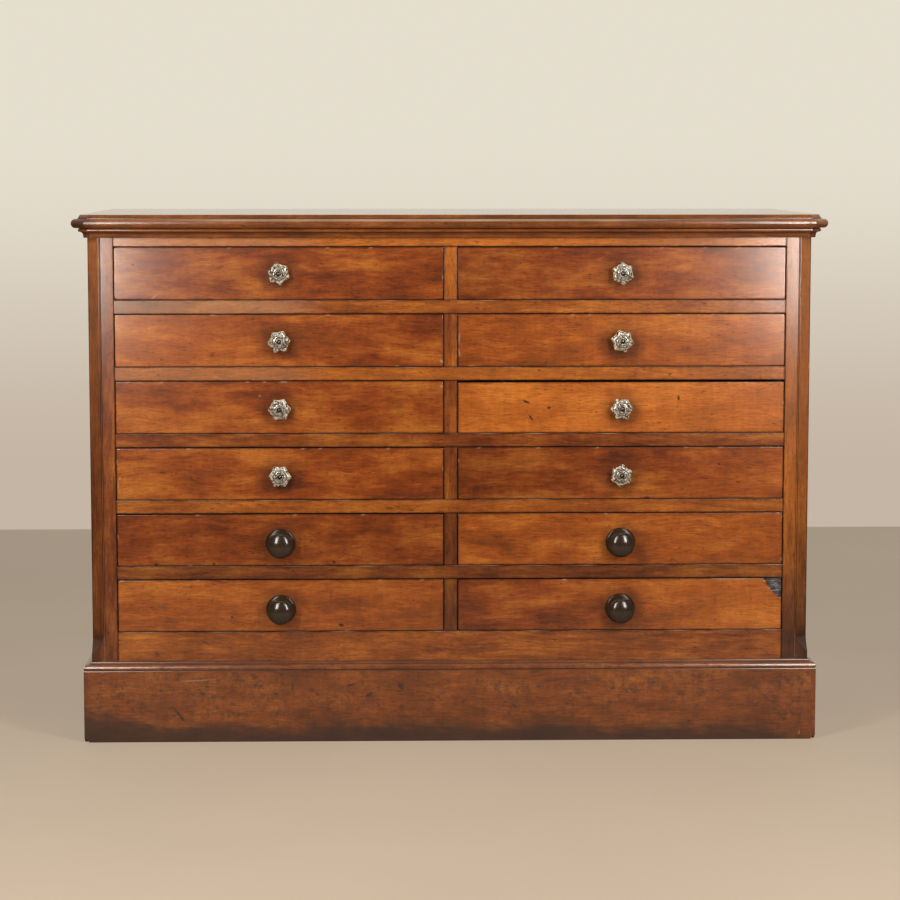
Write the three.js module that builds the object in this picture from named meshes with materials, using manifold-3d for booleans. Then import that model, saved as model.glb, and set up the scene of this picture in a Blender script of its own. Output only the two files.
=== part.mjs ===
// A shop haberdashery cabinet with two columns of small drawers, as separate pieces at real size.
// Millimetres, +Z up. The drawers face -Y, and the origin is on the floor under the middle.
import * as THREE from 'three';
import { mergeVertices } from 'three/addons/utils/BufferGeometryUtils.js';
import Module from 'manifold-3d';

const wasm = await Module();
wasm.setup();

// Fixed pieces stand apart by a glue line, and cuts run on past a face by an overrun.
const glueLine = 0.3;
const overrun = 5;

// The grid of drawer openings and the frame round it
const rows = 6;
const openingWidth = 541;
const openingHeight = 88;
const railHeight = 22;
const railDepth = 50;
const muntinWidth = 22;
const topRailHeight = 30;
const bottomRailReveal = 49;
const bottomRailHidden = 70;
const bottomRailThickness = 22;
const carcassDepth = 560;

// Corner posts: a stile face, a quirked bead and a stopped chamfer
const postWidth = 43.5;
const postDepth = 44;
const chamferRun = 19;
const beadWidth = 3.4;
const beadLand = 0.6;
const quirkWidth = 0.5;
const quirkDepth = 1.4;
const arris = 0.8;
const stopAbovePlinth = 13;
const stopHeight = 25;
const beadRunOut = 4;

// Boards of the carcass
const sideThickness = 20;
const backThickness = 10;
const backRise = 60;
const dustBoardThickness = 12;
const guideHeight = 12;
const stopBlockLength = 40;
const stopBlockDepth = 12;
const stopBlockHeight = 4;

// Moulded top: a half-round under a small sloping fillet, with canted front corners
const halfRoundHeight = 15.2;
const quirkRise = 1.2;
const filletRise = 5.6;
const topOverhang = 24.5;
const filletFootSetback = 11;
const topFlatSetback = 14.6;
const cornerCant = 23;

// Bed moulding under the top: a round nose, a cove and a foot fillet
const bedHeight = 15.4;
const bedReach = 13.6;
const noseHeight = 6;
const bedFootReach = 5.6;
const bedFootHeight = 5;

// Plinth planted on the foot of the carcass, with a cove, a bead and a quirk at its top
const plinthHeight = 134;
const plinthReach = 12.8;
const plinthLedge = 2.4;
const plinthCoveRise = 4.4;
const plinthBeadHeight = 9;
const plinthQuirk = 1.2;

// Drawers
const frontThickness = 20;
const frontSideClearance = 1;
const frontTopClearance = 1.2;
const frontFloorClearance = 0.8;
const drawerSideThickness = 9;
const drawerBackThickness = 9;
const drawerBottomThickness = 6;
const drawerBottomRise = 6;
const drawerBackSpace = 40;
const drawerSideDrop = 2;

// Each row's knobs sit this far below the middle of their drawers, the top row's in the middle
const knobDrops = [0, 1, 2.5, 3, 6, 6.5];

// Pressed-glass knobs on the upper rows: a waisted base, a six-lobed body and a round boss
const glassRows = 4;
const glassLobes = 6;
const glassRadius = 19;
const glassReach = 27;
const glassBaseRadius = 10;
const glassBaseHeight = 3.2;
const glassWaistRadius = 8;
const glassWaistHeight = 7;
const glassBossRadius = 6.5;
const glassBossFootRadius = 8.5;
const glassBossRise = 3.2;
const lobeValley = 3.2;
const spindleRadius = 3;

// Turned wooden knobs on the lower rows: a flange, a neck and a bun
const woodReach = 40;
const woodFlangeRadius = 24.5;
const woodFlangeHeight = 7;
const woodNeckRadius = 11.5;
const woodBunRadius = 21;
const woodBunHalf = 12;
const spigotRadius = 7;
const spigotTail = 4;

// Places worked out from the sizes above
const lowestOpening = plinthHeight + bottomRailReveal;
const openingsTop = lowestOpening + rows * openingHeight + (rows - 1) * railHeight;
const topUnderside = openingsTop + topRailHeight;
const topThickness = halfRoundHeight + quirkRise + filletRise;
const postInner = muntinWidth / 2 + openingWidth;
const carcassHalf = postInner + postWidth;
const sideInner = carcassHalf - sideThickness;
const columnCentre = (muntinWidth + openingWidth) / 2;
const backFront = carcassDepth - backThickness;
const drawerLength = backFront - drawerBackSpace;
const boardFront = railDepth + glueLine;
const boardBack = backFront - glueLine;
const halving = (boardFront + boardBack) / 2;
const bodyTop = topUnderside - glueLine;

// An offset of a 45 degree corner lengthens its cant by this share of the offset.
const cantGrowthShare = 2 - Math.SQRT2;

const finishes = {
  mahogany: { color: '#7d3f20', roughness: 0.34 },
  darkMahogany: { color: '#5e3020', roughness: 0.38 },
  paleMahogany: { color: '#94512a', roughness: 0.36 },
  pine: { color: '#b08a5a', roughness: 0.75 },
  ebonised: { color: '#231813', roughness: 0.22 },
  glass: { color: '#c9c6ae', roughness: 0.08 },
};

const cabinet = new THREE.Group();
const carcass = new THREE.Group();
carcass.position.y = -(carcassDepth - Math.max(woodReach, glassReach)) / 2;
cabinet.add(carcass);

function addPiece(name, geometry, finish) {
  const { color, roughness } = finishes[finish];
  const material = new THREE.MeshStandardMaterial({ color, roughness, metalness: 0 });
  const piece = new THREE.Mesh(geometry, material);
  piece.name = name;
  carcass.add(piece);
}

// A board given by its low and high corners
function board([x0, y0, z0], [x1, y1, z1]) {
  const geometry = new THREE.BoxGeometry(x1 - x0, y1 - y0, z1 - z0);
  return geometry.translate((x0 + x1) / 2, (y0 + y1) / 2, (z0 + z1) / 2);
}

function shapeOf(outline) {
  return new THREE.Shape(outline.map(([u, v]) => new THREE.Vector2(u, v)));
}

// A plan outline in x and y, raised from one height to another
function raisedPlan(outline, low, high) {
  const geometry = new THREE.ExtrudeGeometry(shapeOf(outline), {
    depth: high - low, bevelEnabled: false,
  });
  return geometry.translate(0, 0, low);
}

// A side outline in y and z, with a thickness across x
function uprightBoard(outline, thickness) {
  const geometry = new THREE.ExtrudeGeometry(shapeOf(outline), {
    depth: thickness, bevelEnabled: false,
  });
  const across = new THREE.Matrix4().makeBasis(
    new THREE.Vector3(0, 1, 0), new THREE.Vector3(0, 0, 1), new THREE.Vector3(1, 0, 0));
  return geometry.applyMatrix4(across).translate(-thickness / 2, 0, 0);
}

// A closed skin over a row of rings with equally many points, capped from the middle of each end
function loft(rings) {
  const count = rings[0].length;
  const points = rings.flat();
  const triangles = [];
  for (let ring = 0; ring + 1 < rings.length; ring += 1) {
    for (let i = 0; i < count; i += 1) {
      const a = ring * count + i;
      const b = ring * count + (i + 1) % count;
      triangles.push([a, b, b + count], [a, b + count, a + count]);
    }
  }
  const ends = [[0, -1], [rings.length - 1, 1]];
  for (const [ring, side] of ends) {
    const middle = new THREE.Vector3();
    rings[ring].forEach((point) => middle.addScaledVector(point, 1 / count));
    const hub = points.push(middle) - 1;
    for (let i = 0; i < count; i += 1) {
      const a = ring * count + i;
      const b = ring * count + (i + 1) % count;
      triangles.push(side > 0 ? [hub, a, b] : [hub, b, a]);
    }
  }
  const volume = triangles.reduce((sum, [a, b, c]) => (
    sum + points[a].dot(new THREE.Vector3().crossVectors(points[b], points[c]))), 0);
  const facingOut = volume > 0 ? triangles : triangles.map(([a, b, c]) => [a, c, b]);
  const geometry = new THREE.BufferGeometry().setFromPoints(points);
  geometry.setIndex(facingOut.flat());
  return geometry;
}

function solidOf(geometry) {
  const bare = geometry.clone();
  bare.deleteAttribute('normal');
  bare.deleteAttribute('uv');
  const merged = mergeVertices(bare);
  return new wasm.Manifold(new wasm.Mesh({
    numProp: 3,
    vertProperties: new Float32Array(merged.attributes.position.array),
    triVerts: new Uint32Array(merged.index.array),
  }));
}

function geometryOf(solid) {
  const mesh = solid.getMesh();
  const geometry = new THREE.BufferGeometry();
  geometry.setAttribute('position', new THREE.BufferAttribute(mesh.vertProperties, 3));
  geometry.setIndex(new THREE.BufferAttribute(mesh.triVerts, 1));
  return geometry;
}

function joined(first, ...others) {
  return geometryOf(others.reduce((whole, other) => whole.add(solidOf(other)), solidOf(first)));
}

function cutFrom(first, ...cutters) {
  return geometryOf(cutters.reduce((rest, cutter) => rest.subtract(solidOf(cutter)), solidOf(first)));
}

// Points on an arc in a profile, from one angle to another in degrees
function arc([centreU, centreV], radiusU, radiusV, from, to, steps) {
  return Array.from({ length: steps + 1 }, (_, step) => {
    const angle = THREE.MathUtils.degToRad(from + (to - from) * step / steps);
    return [centreU + radiusU * Math.cos(angle), centreV + radiusV * Math.sin(angle)];
  });
}

// The front and sides of the carcass in plan, set out by a distance. A cant of zero is square.
function planRound(outset, cant) {
  const half = carcassHalf + outset;
  const corner = cant > 0 ? [[-half, cant - outset], [cant - half, -outset]] : [[-half, -outset]];
  const mirrored = corner.map(([x, y]) => [-x, y]).reverse();
  return [[-half, carcassDepth], ...corner, ...mirrored, [half, carcassDepth]];
}

// Canted corners of the top and its bed moulding share their mitre lines.
function mouldingPlan(outset) {
  return planRound(outset, cornerCant - (topOverhang - outset) * cantGrowthShare);
}

// A closed profile of [plan, height] carried round the front and sides, one ring at each corner
function carriedRound(profile) {
  const stations = profile[0][0].length;
  const rings = Array.from({ length: stations }, (_, station) => (
    profile.map(([plan, z]) => new THREE.Vector3(...plan[station], z))));
  return loft(rings);
}

// Top board
const noseRadius = halfRoundHeight / 2;
const topProfile = [
  ...arc([topOverhang - noseRadius, noseRadius], noseRadius, noseRadius, -90, 90, 10),
  [topOverhang - filletFootSetback, halfRoundHeight],
  [topOverhang - filletFootSetback, halfRoundHeight + quirkRise],
  [topOverhang - topFlatSetback, topThickness],
];
const topRings = topProfile.map(([outset, rise]) => (
  mouldingPlan(outset).map(([x, y]) => new THREE.Vector3(x, y, topUnderside + rise))));
addPiece('top_board', loft(topRings), 'mahogany');

// Bed moulding, whose back hugs the chamfered posts
const bedTop = topUnderside - glueLine;
const bedFoot = bedTop - bedHeight;
const bedFilletTop = bedFoot + bedFootHeight;
const bedCoveRise = bedTop - noseHeight - bedFilletTop;
const bedNoseRadius = noseHeight / 2;
const bedCoveReach = bedReach - bedNoseRadius - bedFootReach;
const bedBack = planRound(glueLine, chamferRun + glueLine * cantGrowthShare);
const bedProfile = [
  [bedFootReach, bedFoot],
  ...arc([bedFootReach + bedCoveReach, bedFilletTop], bedCoveReach, bedCoveRise, 180, 90, 5),
  ...arc([bedReach - bedNoseRadius, bedTop - bedNoseRadius], bedNoseRadius, bedNoseRadius, -80, 90, 6),
].map(([outset, z]) => [mouldingPlan(outset), z]);
const bedSection = [[bedBack, bedFoot], ...bedProfile, [bedBack, bedTop]];
addPiece('bed_moulding', carriedRound(bedSection), 'mahogany');

// Plinth
const plinthBeadRadius = plinthBeadHeight / 2;
const plinthBeadTop = plinthHeight - plinthCoveRise;
const plinthBeadMiddle = plinthReach - plinthBeadRadius;
const plinthBeadHub = plinthBeadTop - plinthBeadRadius;
const plinthFaceTop = plinthBeadTop - plinthBeadHeight;
const plinthProfile = [
  [glueLine, 0],
  [glueLine, plinthHeight],
  ...arc([plinthBeadMiddle, plinthHeight], plinthBeadMiddle - plinthLedge, plinthCoveRise, 180, 270, 4),
  ...arc([plinthBeadMiddle, plinthBeadHub], plinthBeadRadius, plinthBeadRadius, 75, -60, 6),
  [plinthReach - plinthQuirk, plinthFaceTop],
  [plinthReach, plinthFaceTop - plinthQuirk],
  [plinthReach, 0],
].map(([outset, z]) => [planRound(outset, 0), z]);
addPiece('plinth', carriedRound(plinthProfile), 'darkMahogany');

// Corner posts. Each level has a height, a depth of the quirks and a size of the chamfer.
const stopFoot = plinthHeight + stopAbovePlinth;
const stopTop = stopFoot + stopHeight;
const stopMiddleShares = [[0.35, 0.5], [0.8, 0.93]];
const postLevels = [
  [0, 0, arris],
  [stopFoot, 0, arris],
  ...stopMiddleShares.map(([rise, run]) => [stopFoot + rise * stopHeight, 0, run * chamferRun]),
  [stopTop, 0, chamferRun],
  [stopTop + beadRunOut, quirkDepth, chamferRun],
  [bodyTop, quirkDepth, chamferRun],
];
const beadSwellShare = 0.3;

function postPlan(depth, chamfer) {
  const beadEnd = carcassHalf - chamferRun - beadLand;
  const beadStart = beadEnd - beadWidth;
  return [
    [postInner, postDepth],
    [postInner, 0],
    [beadStart, 0],
    [beadStart + quirkWidth, depth],
    [beadStart + 2 * quirkWidth, depth * beadSwellShare],
    [(beadStart + beadEnd) / 2, 0],
    [beadEnd - 2 * quirkWidth, depth * beadSwellShare],
    [beadEnd - quirkWidth, depth],
    [beadEnd, 0],
    [carcassHalf - chamfer, 0],
    [carcassHalf, chamfer],
    [carcassHalf, postDepth],
  ];
}

for (const [side, hand] of [['left', -1], ['right', 1]]) {
  const rings = postLevels.map(([z, depth, chamfer]) => (
    postPlan(depth, chamfer).map(([x, y]) => new THREE.Vector3(hand * x, y, z))));
  addPiece(`corner_post_${side}`, loft(rings), 'paleMahogany');
  const faces = [hand * sideInner, hand * carcassHalf].sort((a, b) => a - b);
  addPiece(`side_panel_${side}`, board(
    [faces[0], postDepth + glueLine, 0], [faces[1], carcassDepth, bodyTop]), 'mahogany');
}

// Back panel between the sides
const insideHalf = sideInner - glueLine;
addPiece('back_panel', board(
  [-insideHalf, backFront, backRise], [insideHalf, carcassDepth, bodyTop]), 'pine');

// Small blocks that stop each drawer with its front flush, two to a drawer, on a floor
const stopBlockPlaceShare = 0.3;
const stopBlockFront = frontThickness + glueLine;

function stopBlocks(floor, front) {
  const places = [-1, 1].flatMap((column) => [-1, 1].map((end) => (
    column * columnCentre + end * stopBlockPlaceShare * openingWidth)));
  return places.map((x) => board(
    [x - stopBlockLength / 2, front, floor - stopBlockHeight],
    [x + stopBlockLength / 2, front + stopBlockDepth, floor + stopBlockHeight]));
}

// Rails run through from post to post. The muntin is halved into them from behind.
const railHalf = postInner - glueLine;
const notchHalf = muntinWidth / 2 + glueLine;
const railHalving = railDepth / 2;
const railPlan = [
  [-railHalf, 0], [railHalf, 0], [railHalf, railDepth], [notchHalf, railDepth],
  [notchHalf, railHalving], [-notchHalf, railHalving], [-notchHalf, railDepth], [-railHalf, railDepth],
];
const rowFloor = (row) => openingsTop - row * openingHeight - (row - 1) * railHeight;

addPiece('rail_top', board([-railHalf, 0, openingsTop], [railHalf, railDepth, bodyTop]), 'paleMahogany');
for (let row = 1; row < rows; row += 1) {
  const floor = rowFloor(row);
  const rail = raisedPlan(railPlan, floor - railHeight, floor);
  addPiece(`rail_${row}`, joined(rail, ...stopBlocks(floor, stopBlockFront)), 'paleMahogany');
}
addPiece('rail_bottom', board(
  [-railHalf, 0, lowestOpening - bottomRailReveal - bottomRailHidden],
  [railHalf, bottomRailThickness, lowestOpening]), 'paleMahogany');

// Centre muntin: its face shows between the rails, and behind them it runs through.
const muntinOutline = [[railDepth, lowestOpening + glueLine], [railDepth, openingsTop - glueLine]];
for (let row = 1; row <= rows; row += 1) {
  const foot = row < rows ? rowFloor(row) + glueLine : lowestOpening + glueLine;
  const head = row > 1 ? rowFloor(row - 1) - railHeight - glueLine : openingsTop - glueLine;
  if (row > 1) muntinOutline.push([railHalving + glueLine, head]);
  muntinOutline.push([0, head], [0, foot]);
  if (row < rows) muntinOutline.push([railHalving + glueLine, foot]);
}
addPiece('centre_muntin', uprightBoard(muntinOutline, muntinWidth), 'paleMahogany');

// Dust boards and the partition cross with halvings too. Guides are glued on over the board ends.
const guideOverlap = dustBoardThickness / 2;

function guides(floor, front) {
  return [-1, 1].map((hand) => {
    const faces = [hand * postInner, hand * insideHalf].sort((a, b) => a - b);
    return board([faces[0], front, floor - guideOverlap], [faces[1], boardBack, floor + guideHeight]);
  });
}

const dustPlan = [
  [-insideHalf, boardFront], [insideHalf, boardFront], [insideHalf, boardBack],
  [notchHalf, boardBack], [notchHalf, halving], [-notchHalf, halving], [-notchHalf, boardBack],
  [-insideHalf, boardBack],
];
for (let row = 1; row < rows; row += 1) {
  const floor = rowFloor(row);
  const dustBoard = raisedPlan(dustPlan, floor - dustBoardThickness, floor);
  addPiece(`dust_board_${row}`, joined(dustBoard, ...guides(floor, boardFront)), 'pine');
}

const partitionFoot = lowestOpening + glueLine;
const partitionOutline = [[boardBack, partitionFoot], [boardBack, bodyTop], [boardFront, bodyTop]];
for (let row = 1; row < rows; row += 1) {
  const head = rowFloor(row) + glueLine;
  const foot = rowFloor(row) - dustBoardThickness - glueLine;
  const notch = halving + glueLine;
  partitionOutline.push([boardFront, head], [notch, head], [notch, foot], [boardFront, foot]);
}
partitionOutline.push([boardFront, partitionFoot]);
addPiece('centre_partition', uprightBoard(partitionOutline, muntinWidth), 'pine');

// Bottom board, notched round the posts behind the bottom rail
const bottomFront = bottomRailThickness + glueLine;
const bottomNotch = postInner - glueLine;
const bottomNotchBack = postDepth + glueLine;
const bottomPlan = [
  [-bottomNotch, bottomFront], [bottomNotch, bottomFront], [bottomNotch, bottomNotchBack],
  [insideHalf, bottomNotchBack], [insideHalf, boardBack], [-insideHalf, boardBack],
  [-insideHalf, bottomNotchBack], [-bottomNotch, bottomNotchBack],
];
addPiece('bottom_board', joined(
  raisedPlan(bottomPlan, lowestOpening - dustBoardThickness, lowestOpening),
  ...guides(lowestOpening, bottomNotchBack),
  ...stopBlocks(lowestOpening, Math.max(stopBlockFront, bottomFront))), 'pine');

// A round bar along y, for bores and plain shafts
function bar(radius, from, to, x, z) {
  const sides = 20;
  const geometry = new THREE.CylinderGeometry(radius, radius, to - from, sides);
  return geometry.translate(x, (from + to) / 2, z);
}

// Glass knob: rings of [reach, radius, depth of the valleys between the lobes]
const knobBase = glueLine;
const bossFoot = glassReach - glassBossRise;
const glassBodyShares = [
  [0.26, 0.8, 0.7],
  [0.48, 1, 1],
  [0.68, 0.97, 1],
  [0.95, 0.62, 0.5],
];
const glassProfile = [
  [-frontThickness - spigotTail, spindleRadius, 0],
  [knobBase, spindleRadius, 0],
  [knobBase, glassBaseRadius, 0],
  [glassBaseHeight, glassBaseRadius, 0],
  [glassWaistHeight, glassWaistRadius, 0],
  ...glassBodyShares.map(([rise, spread, valley]) => [
    glassWaistHeight + rise * (bossFoot - glassWaistHeight), spread * glassRadius, valley * lobeValley,
  ]),
  [bossFoot, glassBossFootRadius, 0],
  [glassReach, glassBossRadius, 0],
];
const pointsPerLobe = 4;

function glassKnob() {
  const count = glassLobes * pointsPerLobe;
  const rings = glassProfile.map(([reach, radius, valley]) => (
    Array.from({ length: count }, (_, i) => {
      const angle = 2 * Math.PI * i / count;
      const r = radius - valley * Math.abs(Math.sin(glassLobes * angle / 2));
      return new THREE.Vector3(r * Math.cos(angle), -reach, r * Math.sin(angle));
    })));
  return loft(rings);
}

// Wooden knob turned on its spigot, from the tail of the spigot to the crown of the bun
const woodFlangeShares = [[0.95, 0], [1, 0.4], [0.97, 0.8], [0.88, 1]];
const woodNeckShares = [[1.15, 0.06], [1, 0.18], [1.2, 0.3]];
const woodProfile = [
  [0, -frontThickness - spigotTail],
  [spigotRadius, -frontThickness - spigotTail],
  [spigotRadius, knobBase],
  ...woodFlangeShares.map(([spread, rise]) => [
    spread * woodFlangeRadius, knobBase + rise * (woodFlangeHeight - knobBase),
  ]),
  ...woodNeckShares.map(([spread, rise]) => [
    spread * woodNeckRadius, woodFlangeHeight + rise * (woodReach - woodFlangeHeight),
  ]),
  ...arc([0, woodReach - woodBunHalf], woodBunRadius, woodBunHalf, -38, 75, 9),
  [0, woodReach],
];

function woodKnob() {
  const segments = 28;
  const points = woodProfile.map(([radius, reach]) => new THREE.Vector2(radius, reach));
  return new THREE.LatheGeometry(points, segments).rotateX(Math.PI);
}

// Each drawer: a bored front, a box of sides, back and bottom behind it, and its knob
const frontWidth = openingWidth - 2 * frontSideClearance;

function drawerBox(x0, x1, floor, top) {
  const front = frontThickness + glueLine;
  const bottomUnder = floor + drawerBottomRise;
  const bottomOver = bottomUnder + drawerBottomThickness;
  return cutFrom(
    board([x0, front, floor + glueLine], [x1, drawerLength, top - drawerSideDrop]),
    board([x0 + drawerSideThickness, front - overrun, bottomOver],
      [x1 - drawerSideThickness, drawerLength - drawerBackThickness, top + overrun]),
    board([x0 + drawerSideThickness, front - overrun, floor - overrun],
      [x1 - drawerSideThickness, drawerLength + overrun, bottomUnder]));
}

for (const [column, hand] of [['l', -1], ['r', 1]]) {
  for (let row = 1; row <= rows; row += 1) {
    const name = `${column}${row}`;
    const x = hand * columnCentre;
    const x0 = x - frontWidth / 2;
    const x1 = x + frontWidth / 2;
    const floor = rowFloor(row);
    const top = floor + openingHeight - frontTopClearance;
    const knobHeight = floor + openingHeight / 2 - knobDrops[row - 1];
    const isGlass = row <= glassRows;
    const shaftRadius = isGlass ? spindleRadius : spigotRadius;
    const front = board([x0, 0, floor + frontFloorClearance], [x1, frontThickness, top]);
    const bore = bar(shaftRadius + glueLine, -overrun, frontThickness + overrun, x, knobHeight);
    addPiece(`drawer_front_${name}`, cutFrom(front, bore), 'mahogany');
    addPiece(`drawer_box_${name}`, drawerBox(x0, x1, floor, top), 'pine');
    const knob = (isGlass ? glassKnob() : woodKnob()).translate(x, 0, knobHeight);
    const kind = isGlass ? 'glass' : 'wood';
    addPiece(`${kind}_knob_${name}`, knob, isGlass ? 'glass' : 'ebonised');
  }
}

export default cabinet;
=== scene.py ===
"""The looks of a shop haberdashery cabinet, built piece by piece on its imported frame. Metres, +Z up."""
import math
import random

import bmesh
import bpy
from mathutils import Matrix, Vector, noise


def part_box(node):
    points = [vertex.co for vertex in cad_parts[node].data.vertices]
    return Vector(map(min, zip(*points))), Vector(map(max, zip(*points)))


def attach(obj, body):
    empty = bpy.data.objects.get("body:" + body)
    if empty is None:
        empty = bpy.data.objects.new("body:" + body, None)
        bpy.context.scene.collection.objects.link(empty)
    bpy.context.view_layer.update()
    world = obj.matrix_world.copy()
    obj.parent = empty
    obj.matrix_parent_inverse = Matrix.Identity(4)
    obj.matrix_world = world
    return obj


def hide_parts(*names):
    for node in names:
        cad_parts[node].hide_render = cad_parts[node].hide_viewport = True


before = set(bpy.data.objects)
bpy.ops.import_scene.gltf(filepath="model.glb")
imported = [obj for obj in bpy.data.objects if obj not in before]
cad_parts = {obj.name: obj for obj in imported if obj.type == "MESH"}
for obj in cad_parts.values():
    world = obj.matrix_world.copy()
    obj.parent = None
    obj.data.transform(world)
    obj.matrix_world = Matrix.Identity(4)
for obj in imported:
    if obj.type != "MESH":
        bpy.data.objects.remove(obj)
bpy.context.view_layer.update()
scene = bpy.context.scene
mm = 0.001

# Camera. It stands a little left of the middle at chest height, some four and a half metres from
# the drawer faces, and looks slightly down through a long lens, so uprights stay nearly upright.
lens, film_width = 108, 36
tilt_down, turn_right = 6.069, 1.456
camera = bpy.data.objects.new("camera", bpy.data.cameras.new("camera"))
camera.data.lens = lens
camera.data.sensor_width = film_width
camera.location = (-0.1139, -4.6916, 0.9569)
camera.rotation_euler = (math.radians(90 - tilt_down), 0, math.radians(-turn_right))
scene.collection.objects.link(camera)
scene.camera = camera
scene.view_settings.view_transform = "Standard"


# Room. A pale stone floor ends where the photographed floor meets the wall, and a cream wall that
# darkens downwards with painted shade is the world's own colour. Sums of a node tree's sockets add Math
# nodes.
class Socket:
    """One output of a node tree, which can be added, multiplied and compared."""

    def __init__(self, tree, output):
        self.tree, self.output = tree, output

    def maths(self, operation, first, second):
        return self.tree.node("ShaderNodeMath", {"operation": operation}, {0: first, 1: second})

    def __add__(self, other):
        return self.maths("ADD", self, other)

    def __sub__(self, other):
        return self.maths("SUBTRACT", self, other)

    def __rsub__(self, other):
        return self.maths("SUBTRACT", other, self)

    def __mul__(self, other):
        return self.maths("MULTIPLY", self, other)

    def __truediv__(self, other):
        return self.maths("DIVIDE", self, other)

    def lesser(self, other):
        return self.maths("MINIMUM", self, other)

    def greater(self, other):
        return self.maths("MAXIMUM", self, other)

    def size(self):
        return self.maths("ABSOLUTE", self, 0)

    __radd__ = __add__
    __rmul__ = __mul__


class Tree:
    """A node tree of any kind, with one way to add a node: its type, settings and sockets."""

    def __init__(self, nodes_of):
        self.tree = nodes_of

    def node(self, kind, settings=None, sockets=None, out=0):
        made = self.tree.nodes.new(kind)
        for key, value in (settings or {}).items():
            if key == "stops":
                ramp = made.color_ramp
                while len(ramp.elements) < len(value):
                    ramp.elements.new(1)
                for stop, (place, colour) in zip(ramp.elements, value):
                    stop.position = place
                    stop.color = (*colour, 1)
            else:
                setattr(made, key, value)
        for key, value in (sockets or {}).items():
            if isinstance(value, Socket):
                self.tree.links.new(value.output, made.inputs[key])
            else:
                made.inputs[key].default_value = value
        return Socket(self, made.outputs[out])

    def noise(self, place, stretch, seed=0.0, detail=3.0, rough=0.55):
        spread = self.node("ShaderNodeVectorMath", {"operation": "MULTIPLY"}, {0: place, 1: stretch})
        return self.node("ShaderNodeTexNoise", {"noise_dimensions": "4D"}, {
            "Vector": spread, "W": seed, "Scale": 1.0, "Detail": detail, "Roughness": rough})

    def slope(self, value, low, high):
        return self.node("ShaderNodeMapRange", {"interpolation_type": "SMOOTHSTEP"}, {
            "Value": value, "From Min": low, "From Max": high})

    def blend(self, share, first, second, how="MIX"):
        return self.node("ShaderNodeMix", {"data_type": "RGBA", "blend_type": how}, {
            0: share, 6: first, 7: second}, out=2)

    def scaled(self, colour, share):
        return self.node("ShaderNodeVectorMath", {"operation": "SCALE"}, {0: colour, "Scale": share})

    def split(self, vector):
        parts = self.node("ShaderNodeSeparateXYZ", None, {0: vector})
        outputs = parts.output.node.outputs
        return [Socket(self, outputs[axis]) for axis in range(3)]


class Finish(Tree):
    """A material. Its Principled shader takes numbers, and colours, roughness and bump as sockets."""

    def __init__(self, name, **even):
        self.material = bpy.data.materials.new(name)
        self.material.use_nodes = True
        super().__init__(self.material.node_tree)
        self.shader = self.tree.nodes["Principled BSDF"]
        for key, value in even.items():
            socket = key.replace("_", " ").title().replace("Ior", "IOR")
            self.shader.inputs[socket].default_value = value

    def attribute(self, name, out="Vector"):
        return self.node("ShaderNodeAttribute", {"attribute_name": name}, out=out)

    def place(self):
        return self.node("ShaderNodeTexCoord", out="Object")

    def colour(self, value):
        self.tree.links.new(value.output, self.shader.inputs["Base Color"])

    def roughness(self, value):
        self.tree.links.new(value.output, self.shader.inputs["Roughness"])

    def coat(self, value):
        self.tree.links.new(value.output, self.shader.inputs["Coat Weight"])

    def marks(self, spots):
        """Where small marks are: ragged ovals of (x, height, half length, half width, slant)."""
        marked, ragged = 0.0, self.noise(self.place(), (300, 300, 300)) * 1.4 - 0.7
        for x, z, long, wide, slant in spots:
            inside = self.node("ShaderNodeMapping", {"vector_type": "TEXTURE"}, {
                "Vector": self.place(), "Location": (x, 0, z), "Rotation": (0, math.radians(slant), 0),
                "Scale": (long, 100, wide)})
            far = self.node("ShaderNodeVectorMath", {"operation": "LENGTH"}, {0: inside}, out=1)
            marked = (1 - self.slope(far + ragged, 0.45, 1.0)).greater(marked)
        return marked

    def bump(self, height, depth, strength=0.5):
        bumped = self.node("ShaderNodeBump", None, {
            "Height": height, "Distance": depth, "Strength": strength})
        self.tree.links.new(bumped.output, self.shader.inputs["Normal"])


wall_line = 2.36
floor_near = -7.0
floor_half = 7.0
floor_mesh = bpy.data.meshes.new("floor")
floor_mesh.from_pydata(
    [(-floor_half, floor_near, 0), (floor_half, floor_near, 0),
     (floor_half, wall_line, 0), (-floor_half, wall_line, 0)], [], [(0, 1, 2, 3)])
floor = bpy.data.objects.new("floor", floor_mesh)
scene.collection.objects.link(floor)
stone = Finish("floor_stone", roughness=0.75)
stone_cloud = stone.noise(stone.place(), (1.4, 1.4, 1.4), detail=5)
stone_colour = stone.blend(stone_cloud, (0.30, 0.241, 0.184, 1), (0.36, 0.292, 0.220, 1))
stone.colour(stone_colour)
shown_glow = Socket(stone, stone.node("ShaderNodeLightPath").output.node.outputs["Is Camera Ray"])
even_light = stone.node("ShaderNodeEmission", None, {
    "Color": stone_colour, "Strength": shown_glow * 0.77})
both = stone.node("ShaderNodeAddShader", None, {0: even_light})
ends = stone.tree.nodes["Material Output"]
stone.tree.links.new(stone.shader.outputs[0], both.output.node.inputs[1])
stone.tree.links.new(both.output, ends.inputs["Surface"])
floor_mesh.materials.append(stone.material)

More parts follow.
